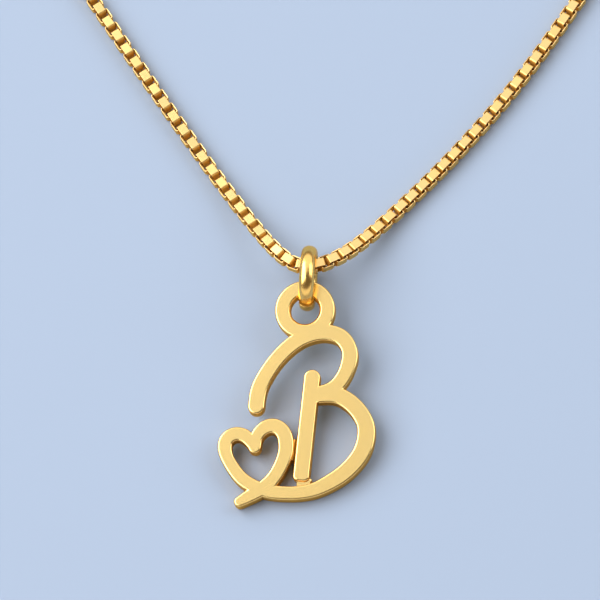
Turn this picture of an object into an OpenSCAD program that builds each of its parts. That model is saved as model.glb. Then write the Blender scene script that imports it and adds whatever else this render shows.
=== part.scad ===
// Initial pendant on a box chain, laid out flat: a letter plate with an open heart, a thick
// jump ring, a closed loop of box chain and a barrel clasp. Millimetres, +Z up, floor at z = 0,
// +X across and +Y from the letter's foot towards the clasp.

/* [Letter plate] */
// Width of the letter with its heart
letter_w = 13.5; // [12:0.1:15]
// Drop from the eye's centre to the letter's lowest point
letter_h = 17.1; // [15.5:0.1:19]
// Full width of the letter's stroke
stroke_w = 1.5; // [1.3:0.05:1.7]
// Thickness of the plate
plate_t = 1.2; // [1:0.05:1.4]
// Width of the leaning stem
stem_w = 1.42; // [1.2:0.02:1.6]
// Length of the stem, from the middle of its round top to its foot
stem_l = 9.08; // [8.8:0.02:9.3]
// Lean of the stem from upright, in degrees
stem_lean = 6.8; // [5:0.1:8]
// Corner radius of the stem's foot
stem_corner = 0.4; // [0.2:0.05:0.6]
// How far the two small bridges lie below the plate's front
bridge_drop = 0.25; // [0.1:0.05:0.5]

/* [Eye] */
// Outer diameter of the eye at the top of the letter
eye_d = 5.16; // [4.8:0.02:5.6]
// Diameter of the hole in the eye
hole_d = 2.5; // [2.3:0.02:2.8]
// Eased edge of the hole
hole_ease = 0.15; // [0.05:0.01:0.25]
// How far the eye lies to the left of the jump ring's middle
eye_shift = 0.27; // [0:0.01:0.4]

/* [Jump ring] */
// Outer diameter of the jump ring
ring_d = 5.65; // [5.5:0.05:6.2]
// Thickness of the jump ring's wire, from its outside to its inside
ring_wire = 1.03; // [0.9:0.01:1.1]
// Width of the wire across the ring
ring_wide = 1.3; // [1:0.01:1.4]
// Turn of the jump ring about the vertical, in degrees
ring_turn = 4; // [0:0.5:8]
// Sideways lean of the jump ring, in degrees
ring_lean = 3; // [0:0.5:6]
// Place of the jump ring, to the right of the necklace's middle line
ring_shift = 0.07; // [0:0.01:0.2]

/* [Chain] */
// Width of the square box chain
chain_w = 1.2; // [1:0.02:1.3]
// Eased corner of the chain's section
chain_corner = 0.2; // [0.1:0.01:0.3]

/* [Clasp] */
// Diameter of the clasp's barrel
barrel_d = 2.8; // [2.4:0.1:3.4]
// Length of the clasp's barrel
barrel_l = 8; // [7:0.1:10]
// Radius of the barrel's eased ends
barrel_round = 0.6; // [0.3:0.05:0.9]
// Depth of the groove round the barrel's middle
groove_depth = 0.2; // [0.1:0.05:0.3]
// Width of the groove round the barrel's middle
groove_w = 0.6; // [0.3:0.05:1]
// Outer diameter of the loop at each end of the clasp
loop_d = 2.8; // [2.4:0.1:3.4]
// Thickness of the loops' wire
loop_wire = 0.7; // [0.6:0.02:0.8]

/* [Clearances] */
// Room between the jump ring and the eye's rim
eye_gap = 0.08; // [0.05:0.01:0.12]
// Room between the jump ring and the chain
chain_gap = 0.05; // [0.03:0.01:0.1]
// Room between the end of the chain and the clasp's loop
end_gap = 0.1; // [0.05:0.01:0.3]

/* [Hidden] */

// The strokes of the letter, a row for each place along the middle of the stroke:
// across as a share of letter_w, down as a share of letter_h, width as a share of stroke_w
ACROSS = 0;
DOWN = 1;
WIDE = 2;
upper_rows = [
    [-0.315, 0.488, 0.95], [-0.300, 0.403, 0.96], [-0.241, 0.314, 0.93], [-0.163, 0.232, 0.92],
    [-0.070, 0.168, 0.95], [0.004, 0.137, 0.97], [0.107, 0.119, 0.97], [0.219, 0.140, 0.96],
    [0.270, 0.198, 0.92], [0.280, 0.253, 0.95], [0.249, 0.335, 0.87], [0.185, 0.403, 0.90],
    [0.111, 0.426, 0.87], [0.044, 0.438, 0.87]
];
bowl_rows = [
    [0.037, 0.444, 0.93], [0.152, 0.442, 0.93], [0.224, 0.455, 1.00], [0.302, 0.502, 1.00],
    [0.357, 0.565, 1.01], [0.379, 0.631, 1.03], [0.356, 0.724, 1.03], [0.300, 0.791, 1.01],
    [0.228, 0.846, 0.99], [0.148, 0.885, 0.95], [0.047, 0.923, 0.85], [-0.065, 0.936, 0.81],
    [-0.173, 0.932, 0.82], [-0.274, 0.918, 0.81], [-0.381, 0.874, 0.81], [-0.440, 0.827, 0.78],
    [-0.498, 0.753, 0.75], [-0.517, 0.694, 0.83], [-0.500, 0.647, 0.83], [-0.441, 0.625, 0.83],
    [-0.378, 0.644, 0.80], [-0.330, 0.692, 0.70]
];
tail_rows = [
    [-0.326, 0.698, 0.74], [-0.311, 0.635, 0.77], [-0.230, 0.587, 0.88], [-0.152, 0.618, 0.89],
    [-0.132, 0.679, 0.89], [-0.139, 0.747, 0.87], [-0.196, 0.841, 0.83], [-0.267, 0.900, 0.87],
    [-0.356, 0.941, 0.80], [-0.426, 0.971, 0.63]
];
// Middle of the stem's round top and of the bridge beside the heart, in the same shares
stem_top = [0.040, 0.350];
side_bridge = [-0.074, 0.716];
// Place of the other bridge from the middle of the stem's foot, and width and height of each
// bridge, as shares of stroke_w
foot_bridge = [0.19, -0.14];
side_bridge_size = [0.6, 1.33];
foot_bridge_size = [0.87, 0.67];
steps_per_row = 6;
cap_steps = 12;

// Route of the chain along its middle, from the clasp's left loop down the left strand,
// through the jump ring and up the right strand to the clasp's right loop
route = [
    [-10, 93.1, 0.98], [-13.5, 92.8, 0.7], [-21, 91.4, 0.61], [-33, 87, 0.6], [-44.5, 78.5, 0.6],
    [-53.5, 67, 0.6], [-59, 54, 0.6], [-61, 40, 0.6], [-59.5, 25, 0.6], [-54.8, 10, 0.6],
    [-47.3, -4, 0.6], [-38, -18.5, 0.6], [-26.2, -36, 0.6], [-18.6, -48.1, 0.6], [-13.5, -56.2, 0.61],
    [-9.3, -62.7, 0.66], [-6.8, -66.5, 1], [-4.6, -69.8, 1.8], [-2.97, -72.03, 2.53],
    [-1.45, -73.53, 2.89], [0.1, -74.05, 2.95], [1.8, -73.6, 2.8], [3.7, -72.3, 2.1],
    [5.75, -70.27, 1.26], [8.1, -67.83, 0.69], [12, -63.87, 0.61], [17, -58.1, 0.6], [23, -49.8, 0.6],
    [35, -31, 0.6], [46.5, -10.5, 0.6], [53.5, 4, 0.6], [58.5, 19, 0.6], [61, 35, 0.6], [60, 52, 0.6],
    [54, 67.5, 0.6], [45, 79, 0.6], [33, 87, 0.6], [21, 91.4, 0.61], [13.5, 92.8, 0.7], [10, 93.1, 0.98]
];
// Row of the route that lies in the jump ring
ring_row = 20;
clasp_y = 93.3;

// The jump ring stands on the floor and holds the chain in its far end and the eye in its near end
ring_r = ring_d / 2;
wire_r = ring_r - ring_wire / 2;
ring_inner_r = ring_r - ring_wire;
ring_z = wire_r * cos(ring_lean) + norm([ring_wire * cos(ring_lean), ring_wide * sin(ring_lean)]) / 2;
chain_reach = norm([chain_w / 2, chain_w / 2 - chain_corner]);
chain_seat = ring_inner_r - chain_gap - chain_reach;
chain_rise = route[ring_row].z - ring_z;
ring_y = route[ring_row].y - sqrt(chain_seat ^ 2 - chain_rise ^ 2);

// The eye's rim touches the ring's inside with the edges of its hole. The plate's middle plane
// points at the ring's middle and leans down to the floor, where the letter's lowest edge rests.
rim_w = (eye_d - hole_d) / 2;
rim_r = (eye_d + hole_d) / 4;
rim_room = ring_inner_r - eye_gap;
inner_edge = rim_room ^ 2 - (plate_t / 2 - hole_ease) ^ 2;
outer_edge = rim_room ^ 2 - (plate_t / 2) ^ 2;
rim_seat = min(sqrt(inner_edge), sqrt(outer_edge) + hole_ease) - rim_w / 2;
drop = letter_h + rim_r + rim_seat;
plate_lean = asin(ring_z / norm([drop, plate_t / 2])) - atan(plate_t / 2 / drop);
eye_drop = rim_r + rim_seat;
eye_place = [
    ring_shift - eye_shift, ring_y - eye_drop * cos(plate_lean), ring_z - eye_drop * sin(plate_lean)
];
stem_foot = [
    stem_top.x * letter_w - stem_l * sin(stem_lean), -stem_top.y * letter_h - stem_l * cos(stem_lean)
];

// The clasp lies on the floor at the back of the loop
barrel_r = barrel_d / 2;
loop_r = (loop_d - loop_wire) / 2;
loop_x = barrel_l / 2 + loop_r;
clasp_end = loop_x + loop_d / 2;

// A row of a list, which goes straight on past its ends
function row_at(rows, i) =
    let (last = len(rows) - 1)
    i < 0 ? rows[0] + i * (rows[1] - rows[0])
    : i > last ? rows[last] + (i - last) * (rows[last] - rows[last - 1])
    : rows[i];

// The point that pulls a smooth line towards a row
function pull(rows, i) =
    row_at(rows, i) + (2 * row_at(rows, i) - row_at(rows, i - 1) - row_at(rows, i + 1)) / 6;

// A point on a smooth line, a share t of the way from row i to the next
function between(rows, i, t) =
    ((1 - t) ^ 3 * pull(rows, i - 1) + (4 - 6 * t ^ 2 + 3 * t ^ 3) * pull(rows, i)
    + (1 + 3 * t + 3 * t ^ 2 - 3 * t ^ 3) * pull(rows, i + 1) + t ^ 3 * pull(rows, i + 2)) / 6;

// A smooth line along the rows, with steps between each two of them
function smooth_line(rows, steps) = [
    for (i = [0 : len(rows) - 2]) for (j = [0 : steps - 1]) between(rows, i, j / steps),
    between(rows, len(rows) - 2, 1)
];

// Direction of a line at one of its points
function heading(line, i) =
    let (d = line[min(i + 1, len(line) - 1)] - line[max(i - 1, 0)]) d / norm(d);

// Middle points of a stroke in millimetres, and its widths
function stroke_places(rows) = [for (r = rows) [r[ACROSS] * letter_w, -r[DOWN] * letter_h]];
function stroke_widths(rows) = [for (r = rows) r[WIDE] * stroke_w];

// Round end of a stroke, from one side over to the other
function cap(middle, direction, width) =
    let (start = atan2(direction.y, direction.x) - 90)
    [for (k = [1 : cap_steps - 1])
        middle + width / 2 * [cos(start + 180 * k / cap_steps), sin(start + 180 * k / cap_steps)]];

// One stroke of the letter, with both ends round
module stroke(rows) {
    line = smooth_line(stroke_places(rows), steps_per_row);
    widths = smooth_line(stroke_widths(rows), steps_per_row);
    last = len(line) - 1;
    aside = [for (i = [0 : last]) let (d = heading(line, i)) widths[i] / 2 * [-d.y, d.x]];
    left = [for (i = [0 : last]) line[i] + aside[i]];
    right = [for (i = [0 : last]) line[i] - aside[i]];
    polygon(concat(
        left,
        [for (k = [cap_steps - 2 : -1 : 0]) cap(line[last], heading(line, last), widths[last])[k]],
        [for (i = [last : -1 : 0]) right[i]],
        [for (k = [cap_steps - 2 : -1 : 0]) cap(line[0], -heading(line, 0), widths[0])[k]]
    ));
}

// The straight stem, with a round top and eased corners at its foot
module stem() {
    straight = stem_w / 2 - stem_corner;
    translate(stem_foot) rotate(-stem_lean) polygon(concat(
        [for (k = [0 : 2 * cap_steps]) let (a = 90 * k / cap_steps)
            [0, stem_l] + stem_w / 2 * [cos(a), sin(a)]],
        [for (k = [0 : 3]) let (a = 180 + 30 * k)
            [-straight, stem_corner] + stem_corner * [cos(a), sin(a)]],
        [for (k = [0 : 3]) let (a = 270 + 30 * k)
            [straight, stem_corner] + stem_corner * [cos(a), sin(a)]]
    ));
}

// A thin bridge that ties two strokes together a little below the front
module bridge(middle, shares) {
    size = shares * stroke_w;
    translate([middle.x - size.x / 2, middle.y - size.y / 2, -plate_t / 2])
        cube([size.x, size.y, plate_t - bridge_drop]);
}

// Letter, heart and eye: one plate of even thickness, leaning from the ring to the floor
module pendant() {
    color([0.93, 0.76, 0.42])
    translate(eye_place) rotate([plate_lean, 0, 0])
    difference() {
        union() {
            translate([0, 0, -plate_t / 2]) linear_extrude(plate_t) {
                stroke(upper_rows);
                stroke(bowl_rows);
                stroke(tail_rows);
                stem();
                circle(d = eye_d, $fn = 96);
            }
            bridge([side_bridge.x * letter_w, -side_bridge.y * letter_h], side_bridge_size);
            bridge(stem_foot + foot_bridge * stroke_w, foot_bridge_size);
        }
        translate([0, 0, -plate_t]) cylinder(d = hole_d, h = 2 * plate_t, $fn = 64);
        for (side = [0, 180]) rotate([side, 0, 0])
            translate([0, 0, plate_t / 2 - hole_ease])
            cylinder(d1 = hole_d, d2 = hole_d + 4 * hole_ease, h = 2 * hole_ease, $fn = 64);
    }
}

// Ring of thick, slightly flattened wire, standing on its edge
module jump_ring() {
    color([0.86, 0.66, 0.32])
    translate([ring_shift, ring_y, ring_z]) rotate([0, 90 + ring_lean, -ring_turn])
        rotate_extrude($fn = 96) translate([wire_r, 0])
        scale([1, ring_wide / ring_wire]) circle(d = ring_wire, $fn = 32);
}

// Section of the chain: a square with eased corners, as shares sideways and upwards
chain_section = [
    for (quarter = [0 : 3]) for (corner = [0, 1])
        let (h = chain_w / 2, e = h - chain_corner, p = corner == 0 ? [h, e] : [e, h])
        [p.x * cos(90 * quarter) - p.y * sin(90 * quarter),
            p.x * sin(90 * quarter) + p.y * cos(90 * quarter)]
];
chain_rows = concat(
    [[-clasp_end - end_gap, clasp_y, barrel_r]], route, [[clasp_end + end_gap, clasp_y, barrel_r]]
);
steps_per_point = 2;

// The chain's outer form: the section carried along the route, with its sides kept upright
module chain() {
    line = smooth_line(chain_rows, steps_per_point);
    sides = len(chain_section);
    last = len(line) - 1;
    points = [
        for (i = [0 : last])
            let (d = heading(line, i), flat = cross(d, [0, 0, 1]))
            let (out = flat / norm(flat), up = cross(out, d))
            for (p = chain_section) line[i] + p.x * out + p.y * up
    ];
    walls = [
        for (i = [0 : last - 1]) for (k = [0 : sides - 1])
            let (a = i * sides + k, b = i * sides + (k + 1) % sides)
            each [[a, b, b + sides], [a, b + sides, a + sides]]
    ];
    near_end = [for (k = [sides - 1 : -1 : 0]) k];
    far_end = [for (k = [0 : sides - 1]) last * sides + k];
    color([0.95, 0.84, 0.52])
    polyhedron(points = points, faces = concat(walls, [near_end], [far_end]));
}

// Outline of half the barrel, from its axis out: eased ends and a groove round the middle
function barrel_outline() = concat(
    [[0, -barrel_l / 2]],
    [for (k = [0 : 4]) let (a = -90 + 22.5 * k)
        [barrel_r - barrel_round, barrel_round - barrel_l / 2] + barrel_round * [cos(a), sin(a)]],
    [[barrel_r, -groove_w / 2], [barrel_r - groove_depth, 0], [barrel_r, groove_w / 2]],
    [for (k = [0 : 4]) let (a = 22.5 * k)
        [barrel_r - barrel_round, barrel_l / 2 - barrel_round] + barrel_round * [cos(a), sin(a)]],
    [[0, barrel_l / 2]]
);

// Plain closed clasp: a barrel with a wire loop soldered to each end
module clasp() {
    color([0.93, 0.76, 0.42])
    translate([0, clasp_y, barrel_r]) {
        rotate([0, 90, 0]) rotate_extrude($fn = 64) polygon(barrel_outline());
        for (side = [-1, 1]) translate([side * loop_x, 0, 0])
            rotate_extrude($fn = 48) translate([loop_r, 0]) circle(d = loop_wire, $fn = 24);
    }
}

pendant();
jump_ring();
chain();
clasp();
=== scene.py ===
"""Initial pendant on a box chain, laid out flat and dressed around its packed construction model.
Metres, +Z up, floor at z = 0."""
import bisect
import math
import random

import bmesh
import bpy
from mathutils import Matrix, Vector


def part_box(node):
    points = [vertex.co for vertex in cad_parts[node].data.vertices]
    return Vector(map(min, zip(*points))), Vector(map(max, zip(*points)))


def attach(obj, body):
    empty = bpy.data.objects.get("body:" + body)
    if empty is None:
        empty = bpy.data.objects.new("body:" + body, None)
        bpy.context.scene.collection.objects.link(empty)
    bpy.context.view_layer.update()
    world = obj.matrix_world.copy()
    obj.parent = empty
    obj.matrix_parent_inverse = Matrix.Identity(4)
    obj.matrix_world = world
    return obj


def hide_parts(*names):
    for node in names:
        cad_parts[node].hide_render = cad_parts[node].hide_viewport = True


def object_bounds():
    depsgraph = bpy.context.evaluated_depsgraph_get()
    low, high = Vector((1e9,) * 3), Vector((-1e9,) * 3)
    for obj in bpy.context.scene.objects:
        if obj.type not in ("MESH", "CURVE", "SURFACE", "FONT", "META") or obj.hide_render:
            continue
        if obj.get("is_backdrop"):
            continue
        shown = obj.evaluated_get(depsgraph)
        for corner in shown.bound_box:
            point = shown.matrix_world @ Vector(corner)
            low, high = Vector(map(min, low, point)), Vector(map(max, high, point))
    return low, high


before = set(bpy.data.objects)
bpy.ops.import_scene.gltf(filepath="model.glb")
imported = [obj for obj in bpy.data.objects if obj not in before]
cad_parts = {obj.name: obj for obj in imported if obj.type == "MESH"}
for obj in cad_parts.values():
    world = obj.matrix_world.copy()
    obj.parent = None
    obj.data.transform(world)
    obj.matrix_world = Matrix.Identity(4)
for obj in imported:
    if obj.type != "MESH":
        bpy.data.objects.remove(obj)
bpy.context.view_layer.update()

# Camera
# A long lens looks steeply down at the drop, from a little in front and a little to the right.
# The middle of the jump ring is seen at RING_PIXEL of the 600 by 600 picture.
PICTURE = 600
RING_PIXEL = (308.3, 278.4)
LENS = 300
SENSOR = 36
RING_DISTANCE = 0.4285
LEAN_FORWARD = math.radians(21.3)
LEAN_RIGHT = math.radians(5)
RING_MIDDLE = (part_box("jump_ring")[0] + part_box("jump_ring")[1]) / 2

towards = Vector((math.sin(LEAN_RIGHT), -math.sin(LEAN_FORWARD), 0))
towards.z = math.sqrt(1 - towards.length_squared)
picture_right = Vector((0, 1, 0)).cross(towards).normalized()
picture_up = towards.cross(picture_right)
pixel = SENSOR / LENS / PICTURE
ring_ray = (
    -towards
    + picture_right * (RING_PIXEL[0] - PICTURE / 2) * pixel
    + picture_up * (PICTURE / 2 - RING_PIXEL[1]) * pixel
)
camera = bpy.data.objects.new("camera", bpy.data.cameras.new("camera"))
camera.data.lens = LENS
camera.data.sensor_width = SENSOR
camera.data.clip_start = 0.01
camera.data.clip_end = 20
turn = Matrix((picture_right, picture_up, towards)).transposed().to_4x4()
camera.matrix_world = Matrix.Translation(RING_MIDDLE - ring_ray * RING_DISTANCE) @ turn
bpy.context.scene.collection.objects.link(camera)
bpy.context.scene.camera = camera
bpy.context.scene.view_settings.view_transform = "Standard"

# Floor and soft lights
# A plain pale floor under soft panels: dim wide ones above, behind and low in front, a bright
# window at the left and a smaller one at the right, with a dark gap left round the camera.
FLOOR_SIZE = 4
FLOOR_TONE = (0.30, 0.37, 0.49)
ROOM_TONE = (0.62, 0.50, 0.38)
ROOM_LIGHT = 0.22
LIGHT_DISTANCE = 1
LIGHTS = (
    # Name, degrees to the right and away from straight above, width and height in degrees, brightness
    ("top panel", 0, 9, 36, 16, 0.75),
    ("back panel", 0, 46, 100, 56, 1.2),
    ("left window", -40, -1, 52, 46, 4.5),
    ("left window top", -47, 31, 38, 18, 4.5),
    ("right window", 55, 10, 46, 34, 2.6),
    ("front panel", 0, -72, 130, 24, 1.0),
)


def mesh_object(name, form):
    """An object from a bmesh, linked to the scene."""
    mesh = bpy.data.meshes.new(name)
    form.to_mesh(mesh)
    form.free()
    made = bpy.data.objects.new(name, mesh)
    bpy.context.scene.collection.objects.link(made)
    return made


form = bmesh.new()
bmesh.ops.create_grid(form, x_segments=1, y_segments=1, size=FLOOR_SIZE / 2)
floor = mesh_object("floor", form)
floor_paint = bpy.data.materials.new("matt pale floor")
floor_paint.use_nodes = True
shader = floor_paint.node_tree.nodes["Principled BSDF"]
shader.inputs["Base Color"].default_value = (*FLOOR_TONE, 1)
shader.inputs["Roughness"].default_value = 0.9
floor.data.materials.append(floor_paint)
floor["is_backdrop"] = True

room = bpy.data.worlds.new("room")
room.use_nodes = True
room.node_tree.nodes["Background"].inputs["Color"].default_value = (*ROOM_TONE, 1)
room.node_tree.nodes["Background"].inputs["Strength"].default_value = ROOM_LIGHT
bpy.context.scene.world = room

for name, rightwards, away, wide, high, brightness in LIGHTS:
    panel = bpy.data.lights.new(name, "AREA")
    panel.shape = "RECTANGLE"
    panel.size = 2 * LIGHT_DISTANCE * math.tan(math.radians(wide / 2))
    panel.size_y = 2 * LIGHT_DISTANCE * math.tan(math.radians(high / 2))
    panel.energy = brightness * math.pi * panel.size * panel.size_y
    lamp = bpy.data.objects.new(name, panel)
    turn = Matrix.Rotation(math.radians(rightwards), 4, "Y") @ Matrix.Rotation(math.radians(-away), 4, "X")
    lamp.matrix_world = Matrix.Translation(RING_MIDDLE) @ turn @ Matrix.Translation((0, 0, LIGHT_DISTANCE))
    lamp.visible_camera = False
    bpy.context.scene.collection.objects.link(lamp)

# Letter plate
# One flat plate of yellow gold, cut out with its eye and its open heart. It was tumbled and
# polished, so every edge is softly rounded, and the cut still shows in fine lines on its walls.
PLATE_GOLD = (0.93, 0.69, 0.275)
# Painted shade for the plate's rounded edges and cut walls
WALL_PAINTED_SHADE_GOLD = (0.80, 0.42, 0.08)
EDGE_GOLD = (1.0, 0.82, 0.5)
CLOUD_TINT = (0.97, 0.93, 0.85)
CLOUD_SCALE = 420
MARKS_STRENGTH = 0.5
PLATE_LEAN = math.radians(6.4)
RIM_ROUND = 0.00017
SMALL_ROUND = 0.00005
RIM_STEPS = 4
# Corners between the first two angles, in degrees, get the small rounding, then the squarer ones
# the full one
CORNERS = ((30, 65, SMALL_ROUND), (65, 100, RIM_ROUND))
FLAT_ANGLE = math.radians(0.5)


def metal(name, gold, gloss, wear, painted_shade_gold, deep_gloss, grain, grain_depth, placing):
    """Gold with a cloudy polish: gloss is its roughness, wear how far that varies over a few
    millimetres, grain the fineness of its marks and grain_depth their depth. placing turns and
    stretches the marks over Object coordinates. A share stored on each face mixes in a second,
    deeper gold. That gold is painted shade, and on the chain it also gives each link a random tone.
    The same share moves the roughness towards deep_gloss."""
    made = bpy.data.materials.new(name)
    made.use_nodes = True
    nodes = made.node_tree.nodes
    join = made.node_tree.links.new
    shader = nodes["Principled BSDF"]
    shader.inputs["Metallic"].default_value = 1
    shader.inputs["Specular Tint"].default_value = (*EDGE_GOLD, 1)
    place = nodes.new("ShaderNodeTexCoord")
    cloud = nodes.new("ShaderNodeTexNoise")
    cloud.inputs["Scale"].default_value = CLOUD_SCALE
    cloud.inputs["Detail"].default_value = 3
    join(place.outputs["Object"], cloud.inputs["Vector"])
    polish = nodes.new("ShaderNodeMapRange")
    polish.inputs["To Min"].default_value = gloss - wear
    polish.inputs["To Max"].default_value = gloss + wear
    join(cloud.outputs["Fac"], polish.inputs["Value"])
    tint = nodes.new("ShaderNodeMix")
    tint.data_type = "RGBA"
    tint.inputs["A"].default_value = (*gold, 1)
    tint.inputs["B"].default_value = (*(part * share for part, share in zip(gold, CLOUD_TINT)), 1)
    join(cloud.outputs["Fac"], tint.inputs["Factor"])
    depth = nodes.new("ShaderNodeAttribute")
    depth.attribute_name = "painted_shade_and_tone"
    painted_shade_mix = nodes.new("ShaderNodeMix")
    painted_shade_mix.data_type = "RGBA"
    painted_shade_mix.inputs["B"].default_value = (*painted_shade_gold, 1)
    join(depth.outputs["Fac"], painted_shade_mix.inputs["Factor"])
    join(tint.outputs["Result"], painted_shade_mix.inputs["A"])
    join(painted_shade_mix.outputs["Result"], shader.inputs["Base Color"])
    roughen = nodes.new("ShaderNodeMix")
    roughen.inputs["B"].default_value = deep_gloss
    join(depth.outputs["Fac"], roughen.inputs["Factor"])
    join(polish.outputs["Result"], roughen.inputs["A"])
    join(roughen.outputs["Result"], shader.inputs["Roughness"])
    stretch = nodes.new("ShaderNodeMapping")
    stretch.inputs["Rotation"].default_value = placing[0]
    stretch.inputs["Scale"].default_value = placing[1]
    join(place.outputs["Object"], stretch.inputs["Vector"])
    marks = nodes.new("ShaderNodeTexNoise")
    marks.inputs["Scale"].default_value = grain
    marks.inputs["Detail"].default_value = 2
    join(stretch.outputs["Vector"], marks.inputs["Vector"])
    relief = nodes.new("ShaderNodeBump")
    relief.inputs["Distance"].default_value = grain_depth
    relief.inputs["Strength"].default_value = MARKS_STRENGTH
    join(marks.outputs["Fac"], relief.inputs["Height"])
    join(relief.outputs["Normal"], shader.inputs["Normal"])
    return made


def smooth_faces(piece):
    """Shades a piece smoothly, with its broad faces kept flat. The faces are weighed by their area
    in millimetres, because in metres they are too small to tell apart."""
    for face in piece.data.polygons:
        face.use_smooth = True
    piece.data.transform(Matrix.Scale(1000, 4))
    weight = piece.modifiers.new("even shading", "WEIGHTED_NORMAL")
    weight.weight = 100
    even = bpy.data.meshes.new_from_object(piece.evaluated_get(bpy.context.evaluated_depsgraph_get()))
    even.transform(Matrix.Scale(0.001, 4))
    piece.modifiers.clear()
    piece.data = even


form = bmesh.new()
form.from_mesh(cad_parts["pendant"].data)
bmesh.ops.remove_doubles(form, verts=form.verts, dist=1e-6)
bmesh.ops.dissolve_limit(
    form, angle_limit=FLAT_ANGLE, verts=form.verts, edges=form.edges, use_dissolve_boundaries=False
)
corners = [e for e in form.edges if e.is_manifold and e.is_convex]
for low, high, rounding in CORNERS:
    picked = [e for e in corners if e.is_valid and low < math.degrees(e.calc_face_angle()) <= high]
    bmesh.ops.bevel(
        form, geom=picked, offset=rounding, offset_type="OFFSET", segments=RIM_STEPS,
        profile=0.5, affect="EDGES", clamp_overlap=False, material=-1,
    )
    corners = [e for e in form.edges if e.is_manifold and e.is_convex]
# Painted shade: the further a face turns from the polished front, over the rounded edges to the
# cut walls, the deeper its gold is painted and the rougher it is
front = Vector((0, -math.sin(PLATE_LEAN), math.cos(PLATE_LEAN)))
painted_shade_and_tone = form.faces.layers.float.new("painted_shade_and_tone")
for face in form.faces:
    face[painted_shade_and_tone] = 1 - abs(face.normal.dot(front))
letter = mesh_object("letter_plate", form)
smooth_faces(letter)
letter.data.materials.append(
    metal(
        "polished plate gold", PLATE_GOLD, gloss=0.2, wear=0.03, painted_shade_gold=WALL_PAINTED_SHADE_GOLD, deep_gloss=0.4,
        grain=9000, grain_depth=0.000004, placing=((-PLATE_LEAN, 0, 0), (1, 1, 0.06)),
    )
)
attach(letter, "root")
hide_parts("pendant")

# Jump ring
# Thick, slightly flattened gold wire bent into a ring and closed edge to edge. The join is a hair
# line, turned down to the eye of the letter, and the drawn wire keeps faint marks along its length.
WIRE_GOLD = (0.93, 0.6, 0.185)
RING_DIAMETER = 0.00565
RING_WIRE = 0.00103
RING_WIDE = 0.0013
RING_TURN = math.radians(-4)
RING_LEAN = math.radians(3)
JOIN_PLACE = math.radians(171)
JOIN_GAP = 0.000012
JOIN_ROUND = 0.00004
RING_STEPS = 144
WIRE_SIDES = 32

wire_path = (RING_DIAMETER - RING_WIRE) / 2
form = bmesh.new()
bmesh.ops.create_circle(form, cap_ends=True, segments=WIRE_SIDES, radius=RING_WIRE / 2)
bmesh.ops.scale(form, verts=form.verts, vec=(1, RING_WIDE / RING_WIRE, 1))
bmesh.ops.translate(form, verts=form.verts, vec=(wire_path, 0, 0))
gap_angle = JOIN_GAP / wire_path
bmesh.ops.spin(
    form, geom=form.faces[:], cent=(0, 0, 0), axis=(0, -1, 0), dvec=(0, 0, 0),
    angle=2 * math.pi - gap_angle, steps=RING_STEPS, use_merge=False, use_duplicate=False,
)
bmesh.ops.recalc_face_normals(form, faces=form.faces)
ends = [f for f in form.faces if len(f.verts) == WIRE_SIDES]
bmesh.ops.bevel(
    form, geom=[e for f in ends for e in f.edges], offset=JOIN_ROUND, offset_type="OFFSET", segments=2,
    profile=0.5, affect="EDGES", clamp_overlap=True, material=-1,
)
# The wire was spun in the XZ plane: it is turned to its join, stood on its edge, leant a little
# and moved to the ring's middle.
stand = (
    Matrix.Translation(RING_MIDDLE)
    @ Matrix.Rotation(RING_TURN, 4, "Z")
    @ Matrix.Rotation(RING_LEAN, 4, "Y")
    @ Matrix.Rotation(math.pi / 2, 4, "Z")
    @ Matrix.Rotation(-JOIN_PLACE, 4, "Y")
)
bmesh.ops.transform(form, matrix=stand, verts=form.verts)
ring = mesh_object("jump_ring_wire", form)
smooth_faces(ring)
ring.data.materials.append(
    metal(
        "polished wire gold", WIRE_GOLD, gloss=0.24, wear=0.03, painted_shade_gold=WIRE_GOLD, deep_gloss=0.24,
        grain=7000, grain_depth=0.000003, placing=((0, 0, 0), (1, 0.1, 0.1)),
    )
)
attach(ring, "root")
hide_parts("jump_ring")

# Chain
# A closed loop of box chain: each link is a strip of gold bent into a square loop, and the links
# stand upright and lie flat by turns, each through the two beside it.
CHAIN_GOLD = (0.88, 0.61, 0.27)
# Painted shade for the inside of the links, round their bends and on the sides of the lying links; it also
# gives each link its random tone
LINK_PAINTED_SHADE_GOLD = (0.8, 0.52, 0.125)
LINK_TONES = 0.25
LINK_SIDE_PAINTED_SHADE = 0.5
CHAIN_WIDTH = 0.0012
# The strip is narrow enough to lie clear of the bends of the links beside it
STRIP = 0.00017
STRIP_WIDTH = 0.00074
STRIP_EDGE = 0.00003
LINK_LENGTH = 0.00115
LINK_CORNER = 0.00018
LINK_ROLL = 1.2
END_LINK_LENGTH = 0.00152
# The room that the clasp's wire has in the end link, that the end link has in the link beside it,
# and from the clasp to the end of the chain's line
LOOP_WIRE = 0.0007
LOOP_ROOM = 0.00014
LINK_ROOM = 0.00012
END_ROOM = 0.0001
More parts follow.
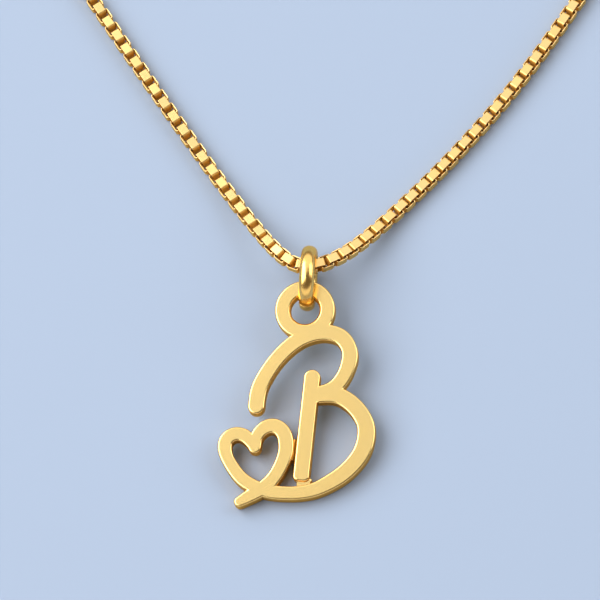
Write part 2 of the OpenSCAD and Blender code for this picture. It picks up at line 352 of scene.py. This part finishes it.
# The chain's line runs round from the left of the clasp to its right. Row RING_ROW lies in the ring.
RING_ROW = 20
ROUTE_STEPS = 24
ROUTE = (
    (-0.01, 0.0931, 0.00098), (-0.0135, 0.0928, 0.0007), (-0.021, 0.0914, 0.00061),
    (-0.033, 0.087, 0.0006), (-0.0445, 0.0785, 0.0006), (-0.0535, 0.067, 0.0006),
    (-0.059, 0.054, 0.0006), (-0.061, 0.04, 0.0006), (-0.0595, 0.025, 0.0006),
    (-0.0548, 0.01, 0.0006), (-0.0473, -0.004, 0.0006), (-0.038, -0.0185, 0.0006),
    (-0.0262, -0.036, 0.0006), (-0.0186, -0.0481, 0.0006), (-0.0135, -0.0562, 0.00061),
    (-0.0093, -0.0627, 0.00066), (-0.0068, -0.0665, 0.001), (-0.0046, -0.0698, 0.0018),
    (-0.00297, -0.07203, 0.00253), (-0.00145, -0.07353, 0.00289), (0.0001, -0.07405, 0.00295),
    (0.0018, -0.0736, 0.0028), (0.0037, -0.0723, 0.0021), (0.00575, -0.07027, 0.00126),
    (0.0081, -0.06783, 0.00069), (0.012, -0.06387, 0.00061), (0.017, -0.0581, 0.0006),
    (0.023, -0.0498, 0.0006), (0.035, -0.031, 0.0006), (0.0465, -0.0105, 0.0006),
    (0.0535, 0.004, 0.0006), (0.0585, 0.019, 0.0006), (0.061, 0.035, 0.0006),
    (0.06, 0.052, 0.0006), (0.054, 0.0675, 0.0006), (0.045, 0.079, 0.0006),
    (0.033, 0.087, 0.0006), (0.021, 0.0914, 0.00061), (0.0135, 0.0928, 0.0007),
    (0.01, 0.0931, 0.00098),
)
# Half steps between the links from the one under the jump ring, where they are pushed together,
# out to each side, and the even step beyond them
FIRST_LINK = -0.0005
LEFT_LOOSE = (0.00069, 0.00067, 0.00066, 0.00065, 0.00066, 0.00067, 0.00069, 0.00069)
RIGHT_LOOSE = (
    0.00069, 0.00068, 0.00067, 0.00066, 0.00064, 0.00063, 0.00062, 0.00062, 0.00067, 0.00067,
    0.0007, 0.00071, 0.00074, 0.00074, 0.00074, 0.00074, 0.00067, 0.00067, 0.00069, 0.00069,
    0.00065, 0.00065, 0.00067, 0.00067, 0.00068, 0.00068, 0.00069, 0.00069, 0.0007, 0.0007,
)
LEFT_STEP = 0.000784
RIGHT_STEP = 0.00072

clasp_low, clasp_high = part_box("clasp")
clasp_y = (clasp_low.y + clasp_high.y) / 2
clasp_z = (clasp_low.z + clasp_high.z) / 2
chain_end = Vector((clasp_high.x + END_ROOM, clasp_y, clasp_z))
rows = [Vector((-chain_end.x, clasp_y, clasp_z)), *map(Vector, ROUTE), chain_end]
# The line goes straight on past its two ends
start, end = rows[0] - rows[1], rows[-1] - rows[-2]
rows = [rows[0] + 2 * start, rows[0] + start, *rows, rows[-1] + end, rows[-1] + 2 * end]
pulls = [rows[i] + (2 * rows[i] - rows[i - 1] - rows[i + 1]) / 6 for i in range(1, len(rows) - 1)]


def between(a, b, c, d, t):
    """A point of a smooth line pulled by a, b, c and d, a share t of the way from b to c."""
    late = 1 + 3 * t + 3 * t**2 - 3 * t**3
    return (a * (1 - t) ** 3 + b * (4 - 6 * t**2 + 3 * t**3) + c * late + d * t**3) / 6


line = [
    between(*pulls[i - 1 : i + 3], step / ROUTE_STEPS)
    for i in range(1, len(pulls) - 2)
    for step in range(ROUTE_STEPS)
]
line.append(between(*pulls[-4:], 1))
along = [0.0]
for before, after in zip(line, line[1:]):
    along.append(along[-1] + (after - before).length)
ring_along = along[(RING_ROW + 1) * ROUTE_STEPS]


def place_on_chain(distance):
    """The frame of a link on the route: X along the chain, Z up and Y across it."""
    i = min(max(bisect.bisect(along, distance) - 1, 0), len(line) - 2)
    share = (distance - along[i]) / (along[i + 1] - along[i])
    point = line[i].lerp(line[i + 1], share)
    ahead = (line[min(i + 2, len(line) - 1)] - line[max(i - 1, 0)]).normalized()
    across = Vector((0, 0, 1)).cross(ahead).normalized()
    above = ahead.cross(across)
    turn = Matrix((ahead, across, above)).transposed().to_4x4()
    return Matrix.Translation(point) @ turn


def link_mesh(length):
    """A square loop bent from strip, its length along X, standing upright in Z."""
    form = bmesh.new()
    bmesh.ops.create_cube(form, size=1)
    bmesh.ops.scale(form, vec=(length, STRIP_WIDTH, CHAIN_WIDTH), verts=form.verts)
    sides = [f for f in form.faces if abs(f.normal.y) > 0.5]
    bmesh.ops.delete(form, geom=sides, context="FACES_ONLY")
    bends = [e for e in form.edges if abs(e.verts[0].co.y - e.verts[1].co.y) > STRIP_WIDTH / 2]
    bmesh.ops.bevel(
        form, geom=bends, offset=LINK_CORNER, offset_type="OFFSET", segments=2,
        profile=0.5, affect="EDGES", clamp_overlap=False, material=-1,
    )
    bmesh.ops.solidify(form, geom=form.faces[:], thickness=STRIP)
    painted_shade_and_tone = form.faces.layers.float.new("painted_shade_and_tone")
    outside = {f for f in form.faces if abs(f.normal.y) < 0.5 and f.normal.dot(f.calc_center_median()) > 0}
    # Painted shade: a link's whole inside and its outside round the bends, fully at its ends, are
    # painted deeper and made rougher, while its flat outside and the edges of its strip keep the polished
    # gold
    for face in form.faces:
        if face in outside:
            face[painted_shade_and_tone] = abs(face.normal.x)
        else:
            face[painted_shade_and_tone] = 0 if abs(face.normal.y) > 0.5 else 1
    rims = [e for e in form.edges if len(outside.intersection(e.link_faces)) == 1]
    bmesh.ops.bevel(
        form, geom=rims, offset=STRIP_EDGE, offset_type="OFFSET", segments=1,
        profile=0.5, affect="EDGES", clamp_overlap=False, material=-1,
    )
    mesh = bpy.data.meshes.new("link")
    form.to_mesh(mesh)
    form.free()
    return mesh


def strand(loose, end, even):
    """Distances of the links from the first one out to end: loose steps first, then even ones. The
    last link lies flat, so the number of steps is odd."""
    side = 1 if end > ring_along else -1
    places = [ring_along + FIRST_LINK]
    for step in loose:
        places.append(places[-1] + side * step)
    rest = end - places[-1]
    count = round(abs(rest) / even)
    if (len(loose) + count) % 2 == 0:
        count -= 1
    start = places[-1]
    places += [start + rest * (i + 1) / count for i in range(count)]
    return places


# The last link on each side is longer, and holds the clasp's loop
loop_wire_x = clasp_high.x - LOOP_WIRE / 2
end_link_x = loop_wire_x - LOOP_WIRE / 2 - LOOP_ROOM - STRIP + END_LINK_LENGTH / 2
first_flat_x = end_link_x + END_LINK_LENGTH / 2 + LINK_LENGTH / 2 - 2 * STRIP - LINK_ROOM
inset = first_flat_x - chain_end.x
lie_flat = Matrix.Rotation(math.pi / 2, 4, "X")
dice = random.Random(5)
link = link_mesh(LINK_LENGTH)
form = bmesh.new()
painted_shade_and_tone = form.faces.layers.float.new("painted_shade_and_tone")


def add_link(mesh, frame_of_link, lying):
    """Adds one link to the chain, a little deeper or paler than its neighbours at random. On a lying
    link the faces that turn to the two sides of the chain get painted shade."""
    before = len(form.verts), len(form.faces)
    form.from_mesh(mesh)
    form.verts.ensure_lookup_table()
    form.faces.ensure_lookup_table()
    bmesh.ops.transform(form, matrix=frame_of_link, verts=form.verts[before[0] :])
    tone = dice.uniform(0, LINK_TONES)
    for face in form.faces[before[1] :]:
        face[painted_shade_and_tone] = max(face[painted_shade_and_tone], LINK_SIDE_PAINTED_SHADE if lying and abs(face.normal.z) < 0.5 else tone)


left = strand(LEFT_LOOSE, inset, LEFT_STEP)
right = strand(RIGHT_LOOSE, along[-1] - inset, RIGHT_STEP)
for first, places in ((0, left), (1, right)):
    for i, distance in enumerate(places[first:], first):
        roll = Matrix.Rotation(math.radians(dice.uniform(-LINK_ROLL, LINK_ROLL)), 4, "X")
        turned = lie_flat @ roll if i % 2 else roll
        add_link(link, place_on_chain(distance) @ turned, i % 2)
end_link = link_mesh(END_LINK_LENGTH)
for side in (-1, 1):
    add_link(end_link, Matrix.Translation((side * end_link_x, clasp_y, clasp_z)), False)
bpy.data.meshes.remove(link)
bpy.data.meshes.remove(end_link)
chain = mesh_object("box_chain", form)
smooth_faces(chain)
chain.data.materials.append(
    metal(
        "bright link gold", CHAIN_GOLD, gloss=0.15, wear=0.03, painted_shade_gold=LINK_PAINTED_SHADE_GOLD, deep_gloss=0.8,
        grain=9000, grain_depth=0.000003, placing=((0, 0, 0), (1, 1, 1)),
    )
)
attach(chain, "root")
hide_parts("chain")

# Clasp
# A plain closed barrel of gold with a groove round its middle, and a loop of round wire soldered
# to each end, which the last links of the chain hold.
BARREL_LENGTH = 0.008
BARREL_ROUND = 0.0006
GROOVE_WIDTH = 0.0006
GROOVE_DEPTH = 0.0002
GROOVE_ROUND = 0.00006
BARREL_SIDES = 64
LOOP_SIDES = 20
LOOP_STEPS = 64
RIM_ANGLE = math.radians(60)
GROOVE_ANGLE = math.radians(17)

barrel_radius = clasp_z
form = bmesh.new()
bmesh.ops.create_cone(
    form, cap_ends=True, segments=BARREL_SIDES, radius1=barrel_radius, radius2=barrel_radius,
    depth=BARREL_LENGTH,
)
rims = [e for e in form.edges if e.calc_face_angle() > RIM_ANGLE]
bmesh.ops.bevel(
    form, geom=rims, offset=BARREL_ROUND, offset_type="OFFSET", segments=6,
    profile=0.5, affect="EDGES", clamp_overlap=False, material=-1,
)
for height in (-GROOVE_WIDTH / 2, 0, GROOVE_WIDTH / 2):
    whole = form.verts[:] + form.edges[:] + form.faces[:]
    bmesh.ops.bisect_plane(form, geom=whole, plane_co=(0, 0, height), plane_no=(0, 0, 1))
bottom = [v for v in form.verts if abs(v.co.z) < GROOVE_WIDTH / 4]
narrow = 1 - GROOVE_DEPTH / barrel_radius
bmesh.ops.scale(form, vec=(narrow, narrow, 1), verts=bottom)
near_groove = [e for e in form.edges if all(abs(v.co.z) < GROOVE_WIDTH for v in e.verts)]
groove = [e for e in near_groove if e.calc_face_angle() > GROOVE_ANGLE]
bmesh.ops.bevel(
    form, geom=groove, offset=GROOVE_ROUND, offset_type="OFFSET", segments=3,
    profile=0.5, affect="EDGES", clamp_overlap=False, material=-1,
)
bmesh.ops.rotate(form, matrix=Matrix.Rotation(math.pi / 2, 3, "Y"), verts=form.verts)
bmesh.ops.translate(form, vec=(0, clasp_y, clasp_z), verts=form.verts)
barrel = mesh_object("barrel_clasp", form)

loop_radius = (loop_wire_x - BARREL_LENGTH / 2) / 2
form = bmesh.new()
for side in (-1, 1):
    bmesh.ops.create_circle(form, cap_ends=False, segments=LOOP_SIDES, radius=LOOP_WIRE / 2)
    wire = [v for v in form.verts if not v.link_faces]
    bmesh.ops.rotate(form, matrix=Matrix.Rotation(math.pi / 2, 3, "X"), verts=wire)
    bmesh.ops.translate(form, vec=(loop_radius, 0, 0), verts=wire)
    bmesh.ops.spin(
        form, geom=wire + [e for e in form.edges if e.is_wire], cent=(0, 0, 0), axis=(0, 0, 1),
        dvec=(0, 0, 0), angle=2 * math.pi, steps=LOOP_STEPS, use_merge=True, use_duplicate=False,
    )
    loop = [v for v in form.verts if abs(v.co.x) < loop_radius * 2]
    bmesh.ops.translate(form, vec=(side * (BARREL_LENGTH / 2 + loop_radius), clasp_y, clasp_z), verts=loop)
bmesh.ops.recalc_face_normals(form, faces=form.faces)
loops = mesh_object("clasp_loops", form)
solder = barrel.modifiers.new("solder", "BOOLEAN")
solder.operation = "UNION"
solder.solver = "EXACT"
solder.object = loops
soldered = bpy.data.meshes.new_from_object(barrel.evaluated_get(bpy.context.evaluated_depsgraph_get()))
barrel.modifiers.clear()
barrel.data = soldered
bpy.data.objects.remove(loops)
smooth_faces(barrel)
barrel.data.materials.append(
    metal(
        "clasp gold", WIRE_GOLD, gloss=0.14, wear=0.03, painted_shade_gold=WIRE_GOLD, deep_gloss=0.14,
        grain=7000, grain_depth=0.000003, placing=((0, 0, 0), (0.1, 1, 1)),
    )
)
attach(barrel, "root")
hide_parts("clasp")

low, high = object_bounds()
